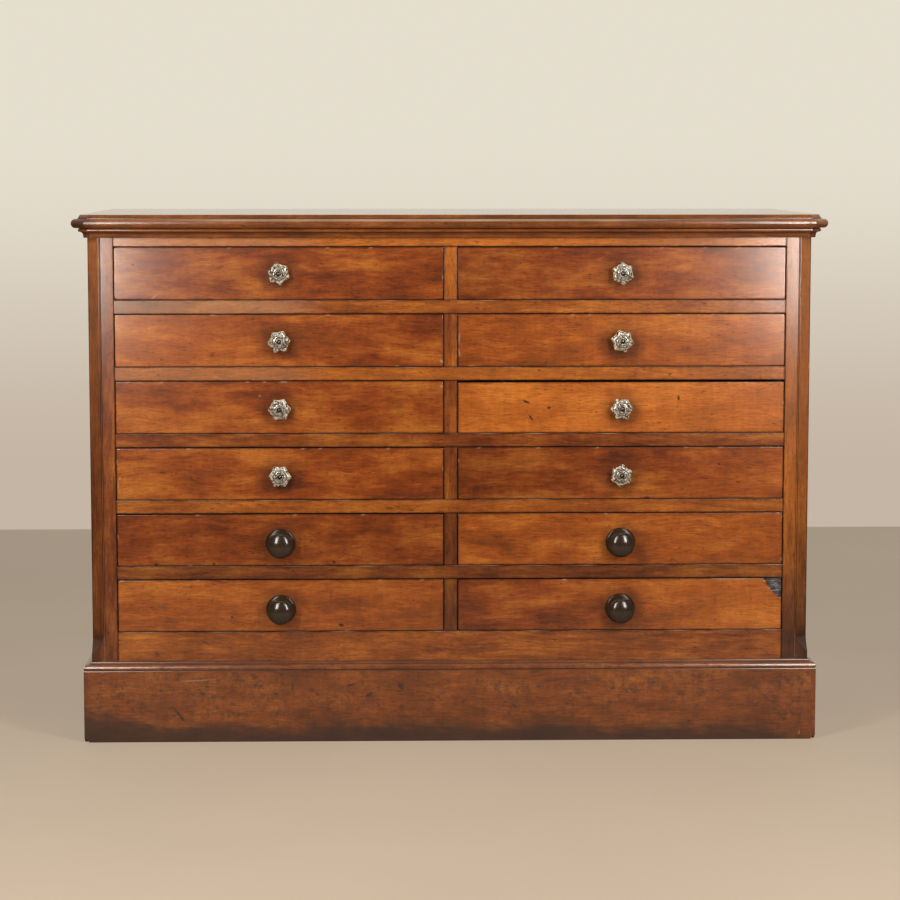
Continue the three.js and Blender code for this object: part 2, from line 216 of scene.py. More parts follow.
scene.world = bpy.data.worlds.new("room")
scene.world.use_nodes = True
room = Tree(scene.world.node_tree)
backdrop = room.tree.nodes["Background"]
rays = room.node("ShaderNodeLightPath").output.node.outputs
seen = Socket(room, rays["Is Camera Ray"])
mirrored = Socket(room, rays["Is Glossy Ray"]).greater(Socket(room, rays["Is Transmission Ray"]))
towards = room.split(room.node("ShaderNodeTexCoord", out="Generated"))
wallward = room.slope(towards[1], -0.05, 0.35)
overhead = room.slope(towards[2], 0.90, 0.99)
wall_colour, wall_foot = (0.783, 0.730, 0.617, 1), (0.558, 0.462, 0.371, 1)
room_colour = (0.045, 0.04, 0.035, 1)
ceiling_colour = (0.9, 0.83, 0.72, 1)
glow_colour = (0.130, 0.128, 0.125, 1)
around = room.blend(overhead, room.blend(wallward, room_colour, wall_colour), ceiling_colour)
lit = room.blend(mirrored, glow_colour, around)
# The wall darkens towards the floor with painted shade.
shaded_wall = room.blend(room.slope(towards[2], -0.115, 0.012), wall_foot, wall_colour)
room.tree.links.new(room.blend(seen, lit, shaded_wall).output, backdrop.inputs["Color"])

face_y = -260 * mm
lamps = {"key": (0.98, -1.76, 1.95, 0.62, 0.90, 12.3), "strip": (0.895, -1.78, 1.04, 0.30, 0.86, 15)}
aside, aim_out, aim_drop = 0.02, 0.4, 0.35
for name, (out, near, height, width, tall, watts) in lamps.items():
    for hand, side in ((-1, "left"), (1, "right")):
        light = bpy.data.lights.new(f"{name}_lamp_{side}", "AREA")
        light.energy = watts
        light.color = (1, 0.94, 0.86)
        light.shape = "RECTANGLE"
        light.size, light.size_y = width, tall
        lamp = bpy.data.objects.new(light.name, light)
        lamp.location = (hand * out + aside, near, height)
        aim = Vector((hand * aim_out, face_y, height - aim_drop)) - lamp.location
        lamp.rotation_euler = aim.to_track_quat("-Z", "Y").to_euler()
        scene.collection.objects.link(lamp)


# Carcass sides. Each is three mahogany boards glued edge to edge, grain upright, planed and
# French polished. The bench below gathers a piece's boards, each with its own run of grain.
class Bench:
    """Points, faces and grain of one piece while it is being made."""

    def __init__(self):
        self.points, self.faces, self.finish_of = [], [], []
        self.grain, self.boards, self.tones, self.dirt = [], [], [], []

    def add(self, points, faces, run, seed, tone=0.5, finish=0, dirt=None):
        """Run names the axis along the grain, then the one across the face, such as xz."""
        axes = ["xyz".index(letter) for letter in run]
        axes.append(3 - sum(axes))
        low = [min(point[axis] for point in points) for axis in axes]
        high = [max(point[axis] for point in points) for axis in axes]
        middle = [(a + b) / 2 for a, b in zip(low, high)]
        first = len(self.points)
        self.points += [tuple(point) for point in points]
        self.faces += [[first + corner for corner in face] for face in faces]
        self.finish_of += [finish] * len(faces)
        self.grain += [[point[axis] - centre for axis, centre in zip(axes, middle)] for point in points]
        self.boards += [((high[0] - low[0]) / 2, (high[1] - low[1]) / 2, seed)] * len(points)
        self.tones += tone if isinstance(tone, list) else [tone] * len(points)
        # A point's dirt value darkens it above nought, with grime and painted shade, and pales it below
        # nought, with wear and painted highlights.
        self.dirt += list(dirt) if dirt else [0.0] * len(points)

    def board(self, low, high, run, seed, tone=0.5, finish=0, ease=0.6 * mm):
        """A planed board with eased edges."""
        shape = bmesh.new()
        bmesh.ops.create_cube(shape, size=1)
        for corner in shape.verts:
            corner.co = [(a + b) / 2 + c * (b - a) for a, b, c in zip(low, high, corner.co)]
        bmesh.ops.bevel(shape, geom=list(shape.edges), offset=ease, segments=2, profile=0.5,
                        affect="EDGES", clamp_overlap=True)
        shape.verts.index_update()
        self.add([corner.co.copy() for corner in shape.verts],
                 [[corner.index for corner in face.verts] for face in shape.faces],
                 run, seed, tone, finish)
        shape.free()

    def finished(self, name, finishes, body="root", nodes=(), crisp=32):
        mesh = bpy.data.meshes.new(name)
        mesh.from_pydata(self.points, [], self.faces)
        for label, values in (("grain", self.grain), ("board", self.boards)):
            layer = mesh.attributes.new(label, "FLOAT_VECTOR", "POINT")
            layer.data.foreach_set("vector", [part for value in values for part in value])
        for label, values in (("tone", self.tones), ("dirt", self.dirt)):
            mesh.attributes.new(label, "FLOAT", "POINT").data.foreach_set("value", values)
        for finish in finishes:
            mesh.materials.append(finish)
        mesh.polygons.foreach_set("material_index", self.finish_of)
        shell = bmesh.new()
        shell.from_mesh(mesh)
        bmesh.ops.remove_doubles(shell, verts=shell.verts, dist=0.004 * mm)
        bmesh.ops.dissolve_degenerate(shell, edges=shell.edges, dist=0.002 * mm)
        bmesh.ops.recalc_face_normals(shell, faces=shell.faces)
        shell.to_mesh(mesh)
        pull = {face: face.normal * face.calc_area() for face in shell.faces}
        limit = math.cos(math.radians(crisp))
        turned = [sum((pull[other] for other in corner.link_faces
                       if other.normal.dot(face.normal) > limit), Vector()).normalized()
                  for face in shell.faces for corner in face.verts]
        shell.free()
        mesh.shade_smooth()
        mesh.set_sharp_from_angle(angle=math.radians(crisp))
        mesh.normals_split_custom_set(turned)
        return placed(name, mesh, body, nodes)


def placed(name, mesh, body, nodes=()):
    piece = bpy.data.objects.new(name, mesh)
    scene.collection.objects.link(piece)
    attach(piece, body)
    if nodes:
        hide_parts(*nodes)
    return piece


def wood(name, deep, middle, bright, figure=(9, 62), mottle=0.55, roughness=0.40, coat=0.7,
         grime_and_shade=(0.018, 0.008, 0.005), edge_dark_reach=3 * mm, edge_dark_share=0.7, flecks=0.6, stains=0.0,
         halo=0.0, dents=(), scuffs=(), smears=(), run=None):
    """Polished or plain timber: bands, fibres and pores along the grain, darkening at the edges and a
    halo of soiling round a knob, dark dents, pale scuffs and grey smears; a point's own value adds
    painted shade and soiling where it is positive, pale wear and painted highlights where negative.
    Run names the axes of a grain that is read from the piece's own place."""
    finish = Finish(name, coat_weight=coat, coat_roughness=0.19, coat_ior=1.7, specular_ior_level=0.1)
    if run:
        axes = ["xyz".index(letter) for letter in run]
        axes.append(3 - sum(axes))
        parts = finish.split(finish.place())
        place = finish.node("ShaderNodeCombineXYZ", None, {
            slot: parts[axis] for slot, axis in enumerate(axes)})
        seed, tone, dirt, edge = 3.0, 0.5, None, None
    else:
        place = finish.attribute("grain")
        along, across, _ = finish.split(place)
        half_along, half_across, seed = finish.split(finish.attribute("board"))
        tone = finish.attribute("tone", "Fac")
        dirt = finish.attribute("dirt", "Fac")
        edge = (half_along - along.size()).lesser(half_across - across.size())
    sway = finish.noise(place, (6, 14, 14), seed, detail=2)
    shift = finish.node("ShaderNodeCombineXYZ", None, {0: 0.0, 1: (sway - 0.5) * 0.035, 2: 0.0})
    leaning = finish.node("ShaderNodeVectorMath", {"operation": "ADD"}, {0: place, 1: shift})
    bands = finish.noise(leaning, (figure[0], figure[1], figure[1]), seed, detail=6, rough=0.7)
    fibres = finish.noise(leaning, (34, 400, 400), seed, detail=3, rough=0.7)
    pores = finish.slope(finish.noise(leaning, (120, 950, 950), seed, detail=2), 0.57, 0.68)
    clouds = finish.noise(place, (9, 21, 21), seed, detail=6, rough=0.64)
    broad = finish.noise(place, (2.6, 8, 8), seed, detail=2)
    ripple = finish.noise(place, (150, 26, 26), seed, detail=1)
    figured = (bands - 0.5) * (1 - mottle) + (clouds - 0.5) * mottle * 1.2 + (broad - 0.5) * 0.28 + 0.5
    ramp = finish.node("ShaderNodeValToRGB", {"stops": [(0.38, deep), (0.50, middle), (0.63, bright)]},
                       {0: figured})
    light = (fibres * 1.6 + 0.20) * (1 - pores * 0.48) * (ripple * 0.32 + 0.84)
    if not run:
        light = light * (tone * 0.9 + 0.55)
        ramp = finish.blend(((tone - 0.5) * 1.4).greater(0.0).lesser(0.45), ramp, (*bright, 1))
    colour = finish.scaled(ramp, light)
    rubbed = finish.noise(place, (90, 90, 90), seed, detail=5, rough=0.75)
    spots = finish.slope(finish.noise(place, (85, 210, 210), seed, detail=2), 0.64, 0.72) * flecks
    shine = clouds * 0.14 + fibres * 0.08 + (roughness - 0.11)
    # The dark colour darkens a board near its edges, at stains, flecks, dents and a halo round a knob,
    # and where a point's dirt value is above nought, which paints shade into gaps, quirks and coves.
    if edge:
        ragged = edge + (rubbed - 0.5) * edge_dark_reach * 2.6
        grime_and_shade_mask = ((1 - finish.slope(ragged, 0.0, edge_dark_reach)) * edge_dark_share).greater(dirt)
        blotches = finish.slope(clouds * 0.35 + rubbed * 0.65, 0.46, 0.66) * stains
        grime_and_shade_mask = grime_and_shade_mask.greater(blotches).greater(spots)
        if halo:
            around = along * along + across * across * 1.6 + (clouds - 0.5) * 0.004
            grime_and_shade_mask = grime_and_shade_mask.greater((1 - finish.slope(around, 0.0002, 0.0026)) * halo)
        if dents:
            grime_and_shade_mask = grime_and_shade_mask.greater(finish.marks(dents) * 0.85)
        # Below nought a point's dirt value pales the colour: wear, and painted highlights on arrises,
        # beads and the top's nose.
        pale = (dirt * -1).greater(0.0)
        if scuffs:
            pale = pale.greater(finish.marks(scuffs) * 0.45)
        colour = finish.blend(grime_and_shade_mask, colour, (*grime_and_shade, 1))
        colour = finish.blend(pale, colour, (0.42, 0.30, 0.20, 1))
        if smears:
            colour = finish.blend(finish.marks(smears) * 0.45, colour, (0.045, 0.050, 0.042, 1))
        shine = shine + grime_and_shade_mask * 0.15
        finish.coat((1 - grime_and_shade_mask.greater(pale) * 0.85) * coat)
    finish.colour(colour)
    finish.roughness(shine)
    finish.bump(fibres * 0.5 + bands * 0.4 - pores * 0.8, 0.12 * mm)
    return finish.material


mahogany = wood("mahogany", (0.080, 0.016, 0.002), (0.18, 0.044, 0.005), (0.29, 0.090, 0.014))
board_share = (0, 0.34, 0.67, 1)
for hand, side in ((-1, "left"), (1, "right")):
    node = f"side_panel_{side}"
    low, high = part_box(node)
    bench = Bench()
    for count, (near, far) in enumerate(zip(board_share, board_share[1:])):
        depth = high.y - low.y
        bench.board((low.x, low.y + near * depth, low.z), (high.x, low.y + far * depth, high.z),
                    "zy", 11 + count + 5 * hand, tone=0.42 + 0.06 * count, ease=0.5 * mm)
    bench.finished(node + "_boards", [mahogany], nodes=[node])


# Corner posts. Each is one mahogany length with a bead run between two quirks on its face, and an
# outer chamfer that dies into a square foot by a lamb's-tongue stop. It is glued to the side.
def skinned(rings):
    """Points and faces of a closed skin over rings of equally many points."""
    count = len(rings[0])
    faces = [[ring * count + i, ring * count + (i + 1) % count,
              (ring + 1) * count + (i + 1) % count, (ring + 1) * count + i]
             for ring in range(len(rings) - 1) for i in range(count)]
    last = (len(rings) - 1) * count
    faces += [list(range(count))[::-1], [last + i for i in range(count)]]
    return [point for ring in rings for point in ring], faces


def curved(centre, radii, start, end, steps):
    """Points on an arc from one angle to another in degrees."""
    angles = [math.radians(start + (end - start) * step / steps) for step in range(steps + 1)]
    return [(centre[0] + radii[0] * math.cos(a), centre[1] + radii[1] * math.sin(a)) for a in angles]


def spaced(start, end, gap):
    """Places from start to end, evenly spaced by about a gap."""
    count = max(1, round(abs(end - start) / gap))
    return [start + (end - start) * step / count for step in range(count + 1)]


chamfer, arris, arris_turn = 19 * mm, 0.9 * mm, (0.3 * mm, 0.25 * mm)
bead_width, quirk_width, quirk_depth, land = 3.4 * mm, 0.8 * mm, 1.8 * mm, 0.6 * mm
quirk_taper, face_wander, face_zone, ring_gap = 0.15 * mm, 0.12 * mm, 30 * mm, 18 * mm
square_foot, stop_foot, stop_height = 130 * mm, 147 * mm, 25 * mm
stop_curve = [(0, 0.04), (0.08, 0.16), (0.2, 0.33), (0.35, 0.5), (0.5, 0.66), (0.65, 0.8),
              (0.8, 0.93), (0.92, 0.985), (1, 1)]
# Rail scuffs are thin pale lines on the rails' top arrises near the posts: wear with painted highlights.
rail_scuffs_and_glints = [(-0.5173, 0.4027, 0.033, 0.0013, 0), (0.5345, 0.2927, 0.020, 0.0013, 0),
               (0.5345, 0.1827, 0.020, 0.0013, 0), (-0.5305, 0.1827, 0.016, 0.0013, 0)]
pale_mahogany = wood("pale_mahogany", (0.105, 0.019, 0.003), (0.24, 0.056, 0.006),
                     (0.42, 0.130, 0.015), figure=(11, 90), mottle=0.5, coat=1.0, scuffs=rail_scuffs_and_glints)
# Post tones darken each post towards its foot and lighten it towards its top, and lighten its chamfer
# further upwards: painted shade and painted light.
post_shading_tones = {"left": (0.26, 0.42, 0.6), "right": (-0.80, 0.80, 0.76)}
for hand, side in ((-1, "left"), (1, "right")):
    node = f"corner_post_{side}"
    low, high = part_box(node)
    inner, outer = (low.x, high.x) if hand > 0 else (-high.x, -low.x)
    bead_end = outer - chamfer - land
    bead_start = bead_end - bead_width
    levels = [(0, 0, stop_curve[0][1]), (square_foot, 0, stop_curve[0][1])]
    levels += [(stop_foot + rise * stop_height, 0, run) for rise, run in stop_curve]
    levels += [(z, min(1, 3 * step), 1) for step, z in enumerate(
        spaced(stop_foot + stop_height + 2 * mm, high.z, ring_gap))]
    rings, dirt, tones = [], [], []
    for z, cut, run in levels:
        wander = face_wander * noise.noise(Vector((hand, 0, z * 30)))
        deep = quirk_depth * cut
        bead = curved(((bead_start + bead_end) / 2, deep), (bead_width / 2 - quirk_width, deep),
                      180, 360, 8)
        plan = [(inner, high.y - face_y), (inner, arris), (inner + arris_turn[0], arris_turn[1]),
                (inner + arris, 0), (bead_start, 0), (bead_start + quirk_taper, deep)]
        plan += bead + [(bead_end - quirk_taper, deep), (bead_end, 0)]
        plan += [(outer - chamfer * run, 0), (outer, chamfer * run), (outer, high.y - face_y)]
        rings.append([(hand * x, face_y + max(0, y + wander * (y < face_zone)), z) for x, y in plan])
        # Dirt values paint shade into both quirks and along the inner edge by the drawers, and paint a
        # highlight on the bead's crown; the trodden foot takes dirt.
        quirk_shade, trodden = 0.75 * cut, 0.55 * (1 - cut)
        dirt += [0, 0.4, 0.1, 0, 0.2 * cut, quirk_shade] + [quirk_shade, 0.5 * cut] + [0, -0.1, -0.3, -0.1, 0]
        dirt += [0.5 * cut, quirk_shade, quirk_shade, 0.3 * cut, 0.05 + trodden, 0.1 + trodden, trodden]
        low_tone, middle_tone, top_tone = post_shading_tones[side]
        share = z / high.z
        tone = low_tone + (middle_tone - low_tone) * min(1, 2 * share)
        tone += (top_tone - middle_tone) * max(0, 2 * share - 1)
        tones += [tone] * (len(plan) - 3) + [tone + 0.25 * share] * 2 + [0.4]
    bench = Bench()
    points, faces = skinned(rings)
    bench.add(points, faces, "zx", 21 + hand, tone=tones, dirt=dirt)
    bench.finished(node + "_turned_edge", [pale_mahogany], nodes=[node])


# Rails and muntin. The rails run through from post to post, the muntin is halved into them from
# behind, and small pine stop blocks are glued on behind each drawer front.
# The upper rails' left ends pale: partly polish bloom, partly painted glare.
glare_bloom_end, glare_bloom_fade = -0.2, 0.08


def worn_length(bench, low, high, axis, seed, tone, ease=0.9 * mm, gap=6 * mm, edges=(0, 0, 0, 0),
                bloom_and_glare=0.0):
    """A long rail whose rounded edges wander a little, whose arris values darken them with painted shade
    or pale them with wear and painted highlights, and whose left end may be paled by polish blooming
    and painted glare.
    """
    across = [number for number in range(3) if number != axis]
    rings, dirt = [], []
    for place in spaced(low[axis], high[axis], gap):
        ring, pale = [], -bloom_and_glare * max(0, min(1, (glare_bloom_end - place) / glare_bloom_fade))
        for turn, (u, v) in enumerate(((1, 1), (0, 1), (0, 0), (1, 0))):
            wear = noise.noise(Vector((seed, turn, place * 25)))
            round_by = ease * (1 + 0.5 * wear)
            dirt += [pale, *[edges[turn] * max(0, 0.4 + 1.8 * wear) or pale] * 3, pale]
            corner = [(low[across[0]], high[across[0]])[u], (low[across[1]], high[across[1]])[v]]
            inward = [corner[0] + round_by * (1 - 2 * u), corner[1] + round_by * (1 - 2 * v)]
            start = 90 * turn
            for a, b in curved(inward, (round_by, round_by), start, start + 90, 4):
                point = [0, 0, 0]
                point[axis], point[across[0]], point[across[1]] = place, a, b
                ring.append(point)
        rings.append(ring)
    points, faces = skinned(rings)
    run = "xyz"[axis] + ("x" if axis == 2 else "z")
    bench.add(points, faces, run, seed, tone, dirt=dirt)


pine = wood("pine", (0.36, 0.20, 0.09), (0.46, 0.28, 0.14), (0.54, 0.35, 0.19), figure=(1.2, 26),
            mottle=0.25, roughness=0.62, coat=0.0, grime_and_shade=(0.14, 0.085, 0.045), edge_dark_share=0.3,
            stains=0.35)
rail_half_depth, rail_tall, guide_rise = 25 * mm, 22 * mm, 4 * mm
notch_half, bay_middle, bay_width = 11.3 * mm, 281.5 * mm, 541 * mm
stop_half, stop_front, stop_back, stop_sunk = 20 * mm, 20.3 * mm, 32.3 * mm, 3 * mm
stop_shares = (-0.3, 0.3)
rail_tones = {"rail_top": 0.84, "rail_1": 0.60, "rail_2": 0.72, "rail_3": 0.44, "rail_4": 0.60,
              "rail_5": 0.22, "rail_bottom": 0.56}
# Each rail's front top arris takes pale wear with a painted highlight, and its front bottom arris painted
# shade.
arrises = (0, -0.55, 0.7, 0)
blooms_and_glare = {"rail_top": 0.16, "rail_1": 0.26, "rail_2": 0.14}
for count, (node, tone) in enumerate(rail_tones.items()):
    low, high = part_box(node)
    bench = Bench()
    foot, back, top = low.z, high.y, high.z
    between_rows = node not in ("rail_top", "rail_bottom")
    if between_rows:
        top = high.z - guide_rise
        foot, back = top - rail_tall, low.y + rail_half_depth
    worn_length(bench, (low.x, low.y, foot), (high.x, back, top), 0, 31 + count, tone,
                edges=arrises, bloom_and_glare=blooms_and_glare.get(node, 0))
    if between_rows:
        for hand in (-1, 1):
            ends = sorted((hand * notch_half, hand * high.x))
            bench.board((ends[0], back, foot), (ends[1], high.y, top), "xz", 31 + count, tone)
            for share in stop_shares:
                middle = hand * bay_middle + share * bay_width
                bench.board((middle - stop_half, face_y + stop_front, top - stop_sunk),
                            (middle + stop_half, face_y + stop_back, high.z), "xy", 40 + count, 0.5, 1)
    bench.finished(node + "_length", [pale_mahogany, pine], nodes=[node])

low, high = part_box("centre_muntin")
top_head, row_pitch, opening_tall = 820.7 * mm, 110 * mm, 87.4 * mm
bench = Bench()
# The muntin's lengths darken row by row towards the foot: painted shade.
for row in range(6):
    head = top_head - row_pitch * row
    worn_length(bench, (low.x, low.y, head - opening_tall), (high.x, low.y + rail_half_depth, head), 2,
                51 + row, 0.70 - 0.13 * row)
bench.board((low.x, low.y + rail_half_depth, low.z), (high.x, high.y, high.z), "zx", 60, 0.4)
bench.finished("centre_muntin_length", [pale_mahogany], nodes=["centre_muntin"])


# Dust boards, partition and bottom. They are plain sawn pine, halved into one another, and show
# only when a drawer is out, so the frame's own solids keep their shape and take a timber finish.
inside_pine = {run: wood(name, (0.33, 0.19, 0.09), (0.42, 0.26, 0.13), (0.50, 0.33, 0.18),
                         figure=(1.2, 24), roughness=0.7, coat=0.0, run=run)
               for run, name in (("xy", "dust_pine"), ("yz", "partition_pine"))}
inside_boards = {f"dust_board_{row}": "xy" for row in range(1, 6)}
inside_boards.update({"bottom_board": "xy", "centre_partition": "yz"})
for node, run in inside_boards.items():
    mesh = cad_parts[node].data
    mesh.materials.clear()
    mesh.materials.append(inside_pine[run])


# Back. Nine upright pine boards with rounded edges are nailed to the carcass through their ends
# and middle. Boards and nails repeat by a rule, so two small recipes make them.
class Recipe(Tree):
    """A Geometry Nodes tree whose named inputs are a piece's sizes."""

    kinds = {int: "NodeSocketInt", float: "NodeSocketFloat", bpy.types.Material: "NodeSocketMaterial"}

    def __init__(self, name, values):
        super().__init__(bpy.data.node_groups.new(name, "GeometryNodeTree"))
        self.values = values
        self.tree.interface.new_socket("Geometry", in_out="OUTPUT", socket_type="NodeSocketGeometry")
        for label, value in values.items():
            kind = next(socket for made, socket in self.kinds.items() if isinstance(value, made))
            self.tree.interface.new_socket(label, in_out="INPUT", socket_type=kind)
        self.inputs = self.tree.nodes.new("NodeGroupInput").outputs

    def size(self, label):
        return Socket(self, self.inputs[label])

    def vector(self, x=0.0, y=0.0, z=0.0):
        return self.node("ShaderNodeCombineXYZ", None, {0: x, 1: y, 2: z})

    def ends_in(self, shapes, material):
        whole = self.node("GeometryNodeRealizeInstances", None, {0: shapes})
        dressed = self.node("GeometryNodeSetMaterial", None, {
            "Geometry": whole, "Material": self.size(material)})
        self.tree.links.new(dressed.output, self.tree.nodes.new("NodeGroupOutput").inputs[0])

    def grown(self, name, body="root", nodes=(), slot=None, **changes):
        """A plain mesh object grown from the recipe, with some of its sizes changed."""
        host = bpy.data.objects.new(name, bpy.data.meshes.new(name))
        scene.collection.objects.link(host)
        growing = host.modifiers.new("recipe", "NODES")
        growing.node_group = self.tree
        for item in self.tree.interface.items_tree:
            if item.in_out == "INPUT":
                growing[item.identifier] = changes.get(item.name, self.values[item.name])
        host.update_tag()
        grown = host.evaluated_get(bpy.context.evaluated_depsgraph_get())
        mesh = bpy.data.meshes.new_from_object(grown)
        bpy.data.objects.remove(host)
        mesh.name = name
        mesh.set_sharp_from_angle(angle=math.radians(32))
        return placed(name, mesh, body, nodes)


low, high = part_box("back_panel")
back_count, nail_proud, side_margin, end_margin = 9, 0.4 * mm, 32 * mm, 25 * mm
back_wood = wood("back_pine", (0.20, 0.115, 0.055), (0.29, 0.175, 0.088), (0.37, 0.24, 0.13),
                 figure=(1.4, 30), roughness=0.72, coat=0.0, run="zx")
boarding = Recipe("boarding", {
    "Boards": back_count, "Board Width": (high.x - low.x) / back_count, "Gap": 0.1 * mm,
    "Thickness": high.y - low.y - nail_proud, "Height": high.z - low.z, "Rounding": 1.6 * mm,
    "Left": low.x, "Middle": (low.y + high.y - nail_proud) / 2, "Foot": low.z, "Wood": back_wood})
width = boarding.size("Board Width")
outline = boarding.node("GeometryNodeCurvePrimitiveQuadrilateral", {"mode": "RECTANGLE"}, {
    "Width": width - boarding.size("Gap"), "Height": boarding.size("Thickness")})
eased = boarding.node("GeometryNodeFilletCurve", {"mode": "POLY"}, {
    "Curve": outline, "Count": 3, "Radius": boarding.size("Rounding")})
upright = boarding.node("GeometryNodeCurvePrimitiveLine", None, {
    "End": boarding.vector(z=boarding.size("Height"))})
plank = boarding.node("GeometryNodeCurveToMesh", None, {
    "Curve": upright, "Profile Curve": eased, "Fill Caps": True})
feet = boarding.node("GeometryNodeMeshLine", None, {
    "Count": boarding.size("Boards"), "Offset": boarding.vector(x=width),
    "Start Location": boarding.vector(boarding.size("Left") + width * 0.5, boarding.size("Middle"),
                                      boarding.size("Foot"))})
boarding.ends_in(boarding.node("GeometryNodeInstanceOnPoints", None, {
    "Points": feet, "Instance": plank}), "Wood")
boarding.grown("back_boards", nodes=["back_panel"], slot="pine")

iron = Finish("nail_iron", roughness=0.55, metallic=0.9)
iron.colour(iron.blend(iron.noise(iron.place(), (400, 400, 400)), (0.08, 0.07, 0.06, 1),
                       (0.16, 0.09, 0.05, 1)))
nailing = Recipe("nailing", {
    "Columns": back_count * 2, "Rows": 3, "Across": high.x - low.x - 2 * side_margin,
    "Up": high.z - low.z - 2 * end_margin, "Head": 3.2 * mm, "Raised": 0.5 * mm,
    "Outer Face": high.y - 0.45 * mm, "Middle Height": (low.z + high.z) / 2, "Metal": iron.material})
head = nailing.node("GeometryNodeMeshCylinder", None, {
    "Vertices": 10, "Radius": nailing.size("Head"), "Depth": nailing.size("Raised")})
grid = nailing.node("GeometryNodeMeshGrid", None, {
    "Size X": nailing.size("Across"), "Size Y": nailing.size("Up"),
    "Vertices X": nailing.size("Columns"), "Vertices Y": nailing.size("Rows")})
nails = nailing.node("GeometryNodeInstanceOnPoints", None, {"Points": grid, "Instance": head})
hung = nailing.node("GeometryNodeTransform", None, {
    "Geometry": nails, "Rotation": (math.radians(-90), 0, 0),
    "Translation": nailing.vector(y=nailing.size("Outer Face") + nailing.size("Raised") * 0.3,
                                  z=nailing.size("Middle Height"))})
nailing.ends_in(hung, "Metal")
nailing.grown("back_nails", slot="pine")


# Plinth. A deep mahogany front and two returns are mitred and glued round the foot of the carcass;
# a cove, a bead and a fine quirk are worked along the top. Its bottom corners are knocked off.
carcass_half, carcass_back = 595.5 * mm, 300 * mm
near_corner, behind, rubbed_to = 8 * mm, 0.3 * mm, 250 * mm


def plan_round(outset, cant, gap=14 * mm):
    """Places on the outline of front and sides, left back to right back, set out by a distance.
    Their number doesn't depend on the distance, so outlines match place by place."""
    half, front = carcass_half + outset, face_y - outset
    corner = [(-half, front + cant), (cant - half, front)] if cant > 0 else [(-half, front)]
    turns = [(-half, carcass_back), *corner, *[(-x, y) for x, y in corner[::-1]], (half, carcass_back)]
    lengths = {0: carcass_back - face_y, len(turns) - 2: carcass_back - face_y,
               len(turns) // 2 - 1: 2 * carcass_half}
    places, bends = [turns[0]], [0]
    for number, ((x0, y0), (x1, y1)) in enumerate(zip(turns, turns[1:])):
        length = lengths.get(number)
        inner = near_corner / length if length else 0.5
        shares = spaced(inner, 1 - inner, gap / length) if length else [inner]
        places += [(x0 + (x1 - x0) * share, y0 + (y1 - y0) * share) for share in [*shares, 1]]
        bends.append(len(places) - 1)
    return places, bends


def rubbed(x, y, z, depth, seed):
    """A point of a moulding, rubbed inwards by handling."""
    rub = depth * abs(noise.noise(Vector((x * 40 + seed, y * 40, z * 60))))
    return x * (1 - rub / carcass_half), y + rub * (y < rubbed_to), z


def carried(profile, cant_at, depth=0.25 * mm, seed=0):
    """A closed profile of (outset, height) carried round front and sides, cut into its lengths."""
    columns = [plan_round(outset, cant_at(outset)) for outset, _ in profile]
    rings = [[rubbed(*column[0][place], height, depth, seed)
              for (_, height), column in zip(profile, columns)] for place in range(len(columns[0][0]))]
    bends = columns[0][1]
    return [rings[start:end + 1] for start, end in zip(bends, bends[1:])]


plinth_dents = [(-0.083, 0.093, 0.007, 0.006, 20), (-0.083, 0.093, 0.013, 0.002, 60),
                (-0.1362, 0.0781, 0.009, 0.004, -30), (-0.2819, 0.1125, 0.004, 0.003, 0),
                (-0.2904, 0.0805, 0.004, 0.003, 0), (-0.263, 0.0939, 0.0015, 0.012, 0),
                (-0.4500, 0.0450, 0.020, 0.003, 52), (-0.166, 0.0951, 0.010, 0.003, -15)]
plinth_scuffs = [(-0.4200, 0.1040, 0.033, 0.0012, -3), (0.5815, 0.0117, 0.0015, 0.006, 15)]
plinth_mahogany = wood("plinth_mahogany", (0.070, 0.015, 0.003), (0.165, 0.036, 0.006),
                       (0.290, 0.083, 0.013), figure=(14, 60), mottle=0.8, coat=1.0, roughness=0.46,
                       grime_and_shade=(0.050, 0.033, 0.026), edge_dark_reach=9 * mm, edge_dark_share=0.6,
                       flecks=0.8, stains=0.85, dents=plinth_dents, scuffs=plinth_scuffs)
low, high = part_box("plinth")
reach, plinth_top, clip = face_y - low.y, high.z, 7 * mm
ledge, cove_rise, bead_half, quirk, ease = 2.4 * mm, 4.4 * mm, 4.5 * mm, 1.2 * mm, 0.3 * mm
bead_middle = reach - bead_half
hub = plinth_top - cove_rise - bead_half
# Section values paint shade onto the ledge under the rail, into the cove and the quirk, and onto the
# arris below the quirk, where they also dull its gloss; the bottom edge is darker too.
section = [((behind, 0), 0), ((behind, plinth_top), 0.8), ((ledge - 0.5 * mm, plinth_top), 0.6)]
section += [(spot, 0.5) for spot in
            curved((bead_middle, plinth_top), (bead_middle - ledge, cove_rise), 180, 262, 8)]
lean, bead_deep, bead_long, bead_inset = math.radians(30), 2.9 * mm, 4.9 * mm, 3.5 * mm
bead_from, bead_turn, bead_steps = 66, 146, 14
for step in range(bead_steps + 1):
    turn = math.radians(bead_from - bead_turn * step / bead_steps)
    out, up = bead_deep * math.cos(turn), bead_long * math.sin(turn)
    section.append(((reach - bead_inset + out * math.cos(lean) - up * math.sin(lean),
                     hub + out * math.sin(lean) + up * math.cos(lean)), 0))
section += [((reach - quirk - ease, hub - bead_half + 0.2 * mm), 0.95),
            ((reach - quirk, hub - bead_half), 0.95),
            ((reach - ease, hub - bead_half - quirk), 0.62)]
section += [((reach, z), 0) for z in spaced(hub - bead_half - 3 * mm, clip + 3 * mm, 6 * mm)]
section += [((reach, clip), 0.2), ((reach - 0.2 * mm, 0.8 * mm), 0.5), ((reach - 0.8 * mm, 0), 0.6)]
soil_height, soil_wave, soil_rag, soil_fade, soil_share = 29, 14, 14, 24 * mm, 0.86
left_climb, left_start, right_sink, right_start = 300, 0.50, 90, 0.40


